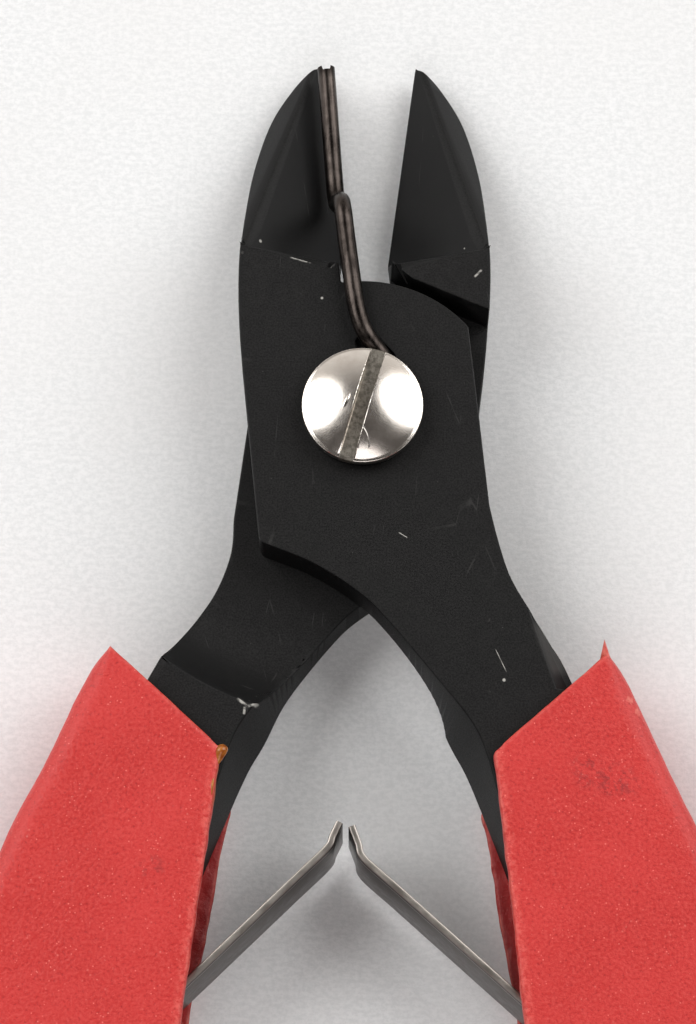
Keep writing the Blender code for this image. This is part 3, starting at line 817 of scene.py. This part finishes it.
def ridge_cutter(side, share):
    """One of the slopes that round the ridge between a jaw's hollow and its outer facet."""
    along = (RIDGE_TIP - RIDGE_ROOT).normalized()
    hollow = Vector((-BEVEL_RISE, 0.0, 1.0)).normalized()
    facet = Vector((0.60, 0.477, 0.644)).normalized()
    lean = hollow.lerp(facet, share).normalized()
    across = along.cross(lean).normalized()
    corners = []
    for end, depth in ((RIDGE_ROOT + along * 0.1, 0.36), (RIDGE_TIP + along * 2.5, 0.10)):
        for sideways in (-6.0, 6.0):
            for rise in (-depth, 6.0):
                spot = end + across * sideways + lean * rise
                corners.append((-side * spot.x, spot.y, spot.z))
    return hull("ridge", corners)


def neck_chamfer_cutter():
    """The ground strip along the outer top edge of the front neck, just above the sleeve's mouth."""
    low, high = THICKNESS - 1.0, THICKNESS + 0.01
    return hull("neck_chamfer", [(9.2, -13.9, high), (12.5, -13.5, high), (10.5, -20.2, high),
                                 (13.5, -20.2, high), (11.35, -20.2, low), (13.5, -20.2, low)])


def screw_seat(threaded):
    """The back half's bore, or the front half's stepped bore with the groove for the wire."""
    if threaded:
        bore = SHANK_TAIL + 0.1
        return turned("seat", [(0.0, 8.0), (bore, 8.0), (bore, -1.0), (0.0, -1.0)], 48)
    floor, bore = THICKNESS - COUNTERBORE_DEPTH, SHANK_RADIUS + 0.1
    seat = turned("seat", [(0.0, 8.0), (COUNTERBORE_RADIUS, 8.0), (COUNTERBORE_RADIUS, floor),
                           (bore, floor), (bore, -1.0), (0.0, -1.0)], 72)
    groove = [(2.7, 0.9), (0.94, 3.01), (0.1, 4.5), (0.05, 5.0), (0.45, 5.4), (1.05, 5.4),
              (1.5, 5.1), (2.45, 3.87), (3.6, 1.2)]
    return boolean(seat, plate("groove", groove, floor + 0.08, 7.7), "UNION")


def forging(name, side, top_recess, angle):
    """One lever: its outline, then every cut, then the rounding of its edges."""
    levels = [(lever_outline(side, LOWER_INNER), 0.0), (lever_outline(side, UPPER_INNER), THICKNESS)]
    made = loft(name, levels, side)
    if not top_recess:
        boolean(made, neck_chamfer_cutter())
    boolean(made, screw_seat(top_recess))
    boolean(made, jaw_hollow_cutter(side))
    boolean(made, jaw_chamfer_cutter(side))
    for share in RIDGE_SHARES:
        boolean(made, ridge_cutter(side, share))
    boolean(made, recess_cutter(side, top_recess))
    tidy_mesh(made)
    split_across(made, FACE_SPLITS)
    rounded(made, STEEL_EDGE)
    return turn(made, angle)


# ---------------------------------------------------------------- screw and wire

def screw():
    """Domed head with a rounded rim and a sawn slot, a shoulder and a flush tail."""
    rim = HEAD_TOP - HEAD_CROWN
    sweep = math.degrees(math.asin(HEAD_RADIUS / DOME_RADIUS))
    dome = [(0.0, HEAD_TOP)]
    dome += arc(DOME_RADIUS, 88.0, 90.0 - sweep + 1.2, 26, (0.0, HEAD_TOP - DOME_RADIUS))
    edge = arc(HEAD_ROUND, 58.0, 0.0, 5, (HEAD_RADIUS - HEAD_ROUND, rim - HEAD_ROUND * 0.35))
    under = arc(0.08, 0.0, -90.0, 3, (HEAD_RADIUS - 0.08, HEAD_UNDERSIDE + 0.08))
    shoulder = THICKNESS / 2 + LAP_GAP
    shank = [(SHANK_RADIUS, HEAD_UNDERSIDE), (SHANK_RADIUS, shoulder), (SHANK_TAIL, shoulder),
             (SHANK_TAIL, 0.06), (SHANK_TAIL - 0.06, 0.0), (0.0, 0.0)]
    made = turned("screw", dome + edge + under + shank, 128)
    half, reach = SLOT_WIDTH / 2, HEAD_RADIUS + 1.0
    slot = plate("slot", [(-half, -reach), (half, -reach), (half, reach), (-half, reach)],
                 HEAD_TOP - SLOT_DEPTH, HEAD_TOP + 1.0)
    boolean(made, turn(slot, SLOT_ANGLE))
    tidy_mesh(made, 0.004)
    return rounded(made, 0.045, 34.0)


def slot_burr():
    """A sliver of metal raised beside the slot by a slipped driver."""
    line = [(-1.32, -0.72, 0.0), (-1.20, -0.45, 0.06), (-1.05, -0.10, 0.10),
            (-0.90, 0.22, 0.07), (-0.80, 0.45, 0.0)]
    path = through(line, 5)
    bm = bmesh.new()
    rings = []
    for i, (x, y, lift) in enumerate(path):
        ground = HEAD_TOP - DOME_RADIUS + math.sqrt(DOME_RADIUS ** 2 - x * x - y * y)
        width = 0.16 * math.sin(math.pi * (i + 0.5) / len(path))
        rings.append([bm.verts.new(Vector((x + width * u, y - width * u * 0.27,
                                           ground - 0.05 + (lift + 0.04) * max(v, -0.3))) * MM)
                      for u, v in circle(10)])
    skin(bm, rings)
    close(bm, rings)
    made = mesh_object("slot_burr", bm)
    made.data.shade_smooth()
    return made


def catcher_path():
    """The wire's centre line: an eye round the shank, a rise out of the groove, a run to the jaw."""
    eye = [(x, y, EYE_HEIGHT) for x, y in arc(EYE_RADIUS, -277.0, 10.0, 60)]
    rise = [(*on_circle(EYE_RADIUS, 22.0), EYE_HEIGHT), (1.75, 3.55, EYE_HEIGHT + 0.05),
            (0.8, 5.05, 7.05), (0.36, 6.7, 7.2), (0.22, 9.3, 7.2), (0.15, 12.2, 7.2),
            (0.13, 13.9, 7.15), (0.1, 14.95, 6.6), (0.05, 15.5, 5.2), (-0.03, 15.8, 4.0),
            (-0.08, 16.6, 2.95), (-0.06, 18.2, 2.7), (0.05, 22.0, 2.7), WIRE_END]
    return eye + through(rise, 8)


def catcher_wire():
    """The lead catcher, its end nipped to a V with two short prongs."""
    made = tube("catcher_wire", catcher_path(), WIRE_RADIUS)
    x, y, z = WIRE_END
    nick = [(x + across, y + along, z + rise) for rise in (-1.0, 1.0)
            for across, along in ((-0.38, 0.3), (0.38, 0.3), (-0.24, -0.28), (0.24, -0.28))]
    boolean(made, hull("nick", nick))
    tidy_mesh(made, 0.003)
    made.data.shade_smooth()
    made.data.set_sharp_from_angle(angle=math.radians(40.0))
    return turn(made, HALF_OPENING)


# ---------------------------------------------------------------- springs and grips

def spring_line(tip, flare, elbow):
    """Tip, flare and blade of a leaf spring, its elbow at the tang, and the riveted foot."""
    foot = [Vector((8.93, -44.2)), Vector((9.46, -51.0))]
    flare_end = Vector(flare).lerp(Vector(elbow), 0.16)
    bend = Vector(elbow).lerp(foot[0], 0.5) + Vector((0.12, 0.0))
    knots = [Vector(tip), Vector(tip).lerp(Vector(flare), 0.55), Vector(flare), flare_end]
    line = through([tuple(k) for k in knots], 8)[:-1]
    blade = [flare_end.lerp(Vector(elbow), k / 24) for k in range(25)]
    line += [tuple(p) for p in blade]
    line += through([elbow, tuple(bend), tuple(foot[0])], 4)[1:]
    line += [tuple(foot[0].lerp(foot[1], k / 8)) for k in range(1, 9)]
    return line


def leaf(name, line, side, angle):
    """A rolled strip with rounded edges, carried along its line."""
    round_off = 0.1
    wide = SPRING_THICKNESS / 2 - round_off
    tall = (SPRING_HIGH - SPRING_LOW) / 2 - round_off
    middle = (SPRING_LOW + SPRING_HIGH) / 2
    section = []
    for k, corner in enumerate(((wide, tall), (-wide, tall), (-wide, -tall), (wide, -tall))):
        section += arc(round_off, 90.0 * k, 90.0 * (k + 1), 3, corner)
    path = [(side * x, y, middle) for x, y in line]
    made = swept(name, path, section)
    made.data.shade_smooth()
    made.data.set_sharp_from_angle(angle=math.radians(50.0))
    return turn(made, angle)


def push_vertices(item, shift):
    """Moves each vertex along its normal by shift(place in mm), in millimetres."""
    mesh = item.data
    normals = [v.normal.copy() for v in mesh.vertices]
    for vertex, normal in zip(mesh.vertices, normals):
        vertex.co += normal * shift(vertex.co / MM) * MM
    mesh.update()


def sleeve(name, side, angle):
    """A soft sleeve: remeshed so that its edges are full and a little uneven."""
    made = loft(name, grip_levels(), side)
    ledge = plate("ledge", lower_flange_outline(), GRIP_BOTTOM + 0.07, 1.0, side)
    boolean(made, ledge, "UNION")
    boolean(made, plate("cavity", grip_cavity_outline(), -GRIP_FIT, THICKNESS + GRIP_FIT, side))
    remesh = made.modifiers.new("skin", "REMESH")
    remesh.mode = "VOXEL"
    remesh.voxel_size = GRIP_VOXEL * MM
    soften = made.modifiers.new("soften", "SMOOTH")
    soften.factor = 0.5
    soften.iterations = 3
    baked(made)

    def uneven(place_mm):
        long_wave = noise.noise(place_mm * 0.16 + Vector((side * 9.0, 0, 0)))
        short_wave = noise.noise(place_mm * 0.9 + Vector((side * 5.0, 3.0, 0)))
        lip = 1.0 if side * place_mm.x < GRIP_INNER_X + 0.8 else 0.3
        return 0.05 * long_wave + 0.08 * lip * short_wave - 0.03 - 0.03 * lip

    push_vertices(made, uneven)
    made.data.shade_smooth()
    return turn(made, angle)


def bead(name, points, radius):
    """A blob of dried glue drawn out along a few points."""
    path = through(points, 6)
    bm = bmesh.new()
    rings = []
    for i, spot in enumerate(path):
        share = (i + 0.5) / len(path)
        width = radius * (math.sin(math.pi * share) ** 0.5) * (1.0 - 0.45 * share)
        rings.append([bm.verts.new((Vector(spot) + Vector((width * u, 0, width * v))) * MM)
                      for u, v in circle(12)])
    skin(bm, rings)
    close(bm, rings)
    made = mesh_object(name, bm)
    made.data.shade_smooth()
    return made


# ---------------------------------------------------------------- build

# Bright strokes (from, to, width). Front: two painted glints along the jaw shoulder's edge, a scratch
# on the right neck, a short scratch. Back: three strokes of a painted V-shaped glint on the left neck,
# a nick on the right jaw.
FRONT_GLINTS_AND_MARKS = [((-5.05, 10.95), (-3.50, 10.50), 0.21), ((-3.9, 10.60), (-2.0, 10.30), 0.08),
               ((8.78, -16.12), (9.56, -17.78), 0.035), ((2.44, -8.36), (3.09, -8.76), 0.045)]
BACK_GLINTS_AND_MARKS = [((-7.8, -19.7), (-7.05, -20.3), 0.13), ((-7.2, -20.3), (-6.1, -19.93), 0.12),
              ((-7.25, -20.2), (-7.3, -20.85), 0.11), ((7.3, 9.55), (7.84, 10.14), 0.10)]
FRONT_DOTS = [(9.37, -18.25, 6.5, 0.14), (-7.03, 12.41, 5.38, 0.15), (-2.81, 7.92, 6.5, 0.12)]
BACK_DOTS = [(6.66, 12.2, 5.13, 0.09)]
# The front steel's last argument is the painted highlight strip on the neck's chamfer facet.
steel_front = black_oxide("black_oxide_front", FRONT_GLINTS_AND_MARKS, FRONT_DOTS,
                          ((11.5, -13.9), (13.1, -18.0), 0.75))
steel_back = black_oxide("black_oxide_back", BACK_GLINTS_AND_MARKS, BACK_DOTS)
plating = nickel()
spring_finish = rolled_strip()
rivet_finish = drawn_steel("rivet_steel", (0.40, 0.38, 0.35), (0.58, 0.55, 0.52),
                           (1.0, 1.0, 1.0), 0.28, 0.42)
wire_finish = drawn_steel("blued_wire", (0.022, 0.018, 0.016), (0.070, 0.058, 0.052),
                          (1.0, 0.12, 1.0), 0.24, 0.40, 0.7, ((-2.88, 26.6, 2.7), 0.7, 1.3))
red_left = vinyl("red_vinyl_left", -1, [((-12.8, -31.1, GRIP_TOP), 0.3, 1.2, 0.45)],
                 ((-8.6, -23.4), (-9.1, -27.5), 0.18))
red_right = vinyl("red_vinyl_right", 1, [((14.8, -24.4, GRIP_TOP), 0.5, 1.6, 0.5),
                                         ((16.4, -25.0, GRIP_TOP), 0.5, 1.6, 0.6),
                                         ((17.3, -25.3, GRIP_TOP), 0.2, 1.0, 0.5)], None)
glue = amber()

place(forging("front_forging", 1, False, HALF_OPENING), "front_half", ["front_lever"],
      "black_steel", steel_front)
place(forging("back_forging", -1, True, -HALF_OPENING), "back_half", ["back_lever"],
      "black_steel", steel_back)
place(screw(), "back_half", ["pivot_screw"], "screw_plate", plating)
place(slot_burr(), "back_half", [], "screw_plate", plating)
place(catcher_wire(), "catcher", ["lead_catcher"], "catcher_wire", wire_finish)


def hung_leaf(name, line, side, angle, node):
    """A leaf spring turned to its rest place and given its finish, with its CAD node hidden."""
    made = leaf(name, line, side, angle)
    made.data.materials.append(spring_finish)
    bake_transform(made)
    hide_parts(node)
    return made


hung_leaf("left_leaf", spring_line((-2.15, -27.6), (-1.6, -29.35), (8.1, -41.7)), -1,
          -HALF_OPENING, "left_leaf_spring")
hung_leaf("right_leaf", spring_line((-3.5, -27.7), (-2.95, -29.85), (8.2, -42.3)), 1,
          HALF_OPENING, "right_leaf_spring")
place(sleeve("left_sleeve", -1, -HALF_OPENING), "back_half", ["left_grip"], "red_vinyl", red_left)
place(sleeve("right_sleeve", 1, HALF_OPENING), "front_half", ["right_grip"], "red_vinyl", red_right)

place(bead("mouth_glue", [(-8.62, -22.95, 7.0), (-8.62, -23.3, 7.2), (-8.72, -23.7, 7.2),
                          (-8.92, -24.3, 7.1)], 0.5), "back_half", [], None, glue)
place(bead("edge_glue", [(-9.05, -24.7, 7.3), (-9.15, -25.4, 7.35), (-9.2, -26.1, 7.35),
                         (-9.22, -26.9, 7.3)], 0.16), "back_half", [], None, glue)
burr = hull("mouth_burr", [(16.3, -17.0, 6.7), (15.5, -17.0, 6.7), (15.9, -16.8, 7.45),
                           (15.9, -17.0, 6.1), (15.8, -15.6, 7.1)])
burr.data.shade_smooth()
place(burr, "front_half", [], "red_vinyl", red_right)

for node in ("left_spring_rivet", "right_spring_rivet"):
    item = frame["nodes"][node]
    item.data.materials.clear()
    item.data.materials.append(rivet_finish)


# ---------------------------------------------------------------- floor, light and camera

CAMERA_PLACE = (0.330, -81.604, 233.311)
CAMERA_AZIMUTH = 0.9
CAMERA_ELEVATION = 71.8
CAMERA_LENS = 128.6


def floor_sheet():
    bm = bmesh.new()
    bmesh.ops.create_grid(bm, x_segments=2, y_segments=2, size=0.9)
    made = mesh_object("paper_floor", bm)
    made.location.z = (GRIP_BOTTOM - 0.02) * MM
    made.data.materials.append(paper())


def soft_light(name, direction, distance, size, energy, color):
    data = bpy.data.lights.new(name, "AREA")
    data.shape = "DISK"
    data.size = size
    data.energy = energy
    data.color = color
    made = bpy.data.objects.new(name, data)
    bpy.context.scene.collection.objects.link(made)
    away = Vector(direction).normalized()
    made.location = away * distance
    made.rotation_euler = away.to_track_quat("Z", "Y").to_euler()


def studio():
    """Soft lights left, right and in front, in a room that is pale ahead and dark overhead."""
    soft_light("left_light", (-0.68, 0.30, 0.67), 0.50, 0.42, 1.76, (1.0, 0.995, 0.985))
    soft_light("right_light", (0.65, 0.38, 0.66), 0.50, 0.46, 1.76, (1.0, 0.995, 0.985))
    soft_light("front_fill", (0.0, -0.80, 0.60), 0.55, 0.50, 1.20, (1.0, 0.97, 0.97))
    world = bpy.data.worlds.new("room")
    bpy.context.scene.world = world
    world.use_nodes = True
    tree = world.node_tree
    ahead = tree.nodes.new("ShaderNodeVectorMath")
    ahead.operation = "DOT_PRODUCT"
    tree.links.new(tree.nodes.new("ShaderNodeTexCoord").outputs["Generated"], ahead.inputs[0])
    ahead.inputs[1].default_value = (0.0, 0.6, -0.8)
    spread = tree.nodes.new("ShaderNodeMapRange")
    tree.links.new(ahead.outputs["Value"], spread.inputs["Value"])
    spread.inputs["From Min"].default_value = -1.0
    spread.inputs["From Max"].default_value = 0.6
    ramp = tree.nodes.new("ShaderNodeValToRGB")
    tree.links.new(spread.outputs["Result"], ramp.inputs["Fac"])
    stops = ramp.color_ramp.elements
    stops[0].position = 0.1
    stops[0].color = (0.050, 0.044, 0.040, 1.0)
    stops[1].position = 1.0
    stops[1].color = (1.0, 0.97, 0.94, 1.0)
    for position, color in ((0.42, (0.10, 0.092, 0.087, 1.0)), (0.75, (0.62, 0.59, 0.56, 1.0))):
        stops.new(position).color = color
    tree.links.new(ramp.outputs["Color"], tree.nodes["Background"].inputs["Color"])


def camera():
    """Looks down at the tool from its handle end."""
    azimuth, elevation = math.radians(CAMERA_AZIMUTH), math.radians(CAMERA_ELEVATION)
    right = Vector((math.cos(azimuth), math.sin(azimuth), 0.0))
    back_axis = Vector((math.sin(azimuth) * math.cos(elevation),
                        -math.cos(azimuth) * math.cos(elevation), math.sin(elevation)))
    up = back_axis.cross(right)
    data = bpy.data.cameras.new("camera")
    data.sensor_fit = "VERTICAL"
    data.sensor_height = 36.0
    data.lens = CAMERA_LENS
    data.clip_start = 0.01
    made = bpy.data.objects.new("camera", data)
    bpy.context.scene.collection.objects.link(made)
    turned_axes = Matrix((right, up, back_axis)).transposed().to_4x4()
    made.matrix_world = Matrix.Translation(Vector(CAMERA_PLACE) * MM) @ turned_axes
    bpy.context.scene.camera = made


floor_sheet()
studio()
camera()
bpy.context.scene.view_settings.view_transform = "Standard"
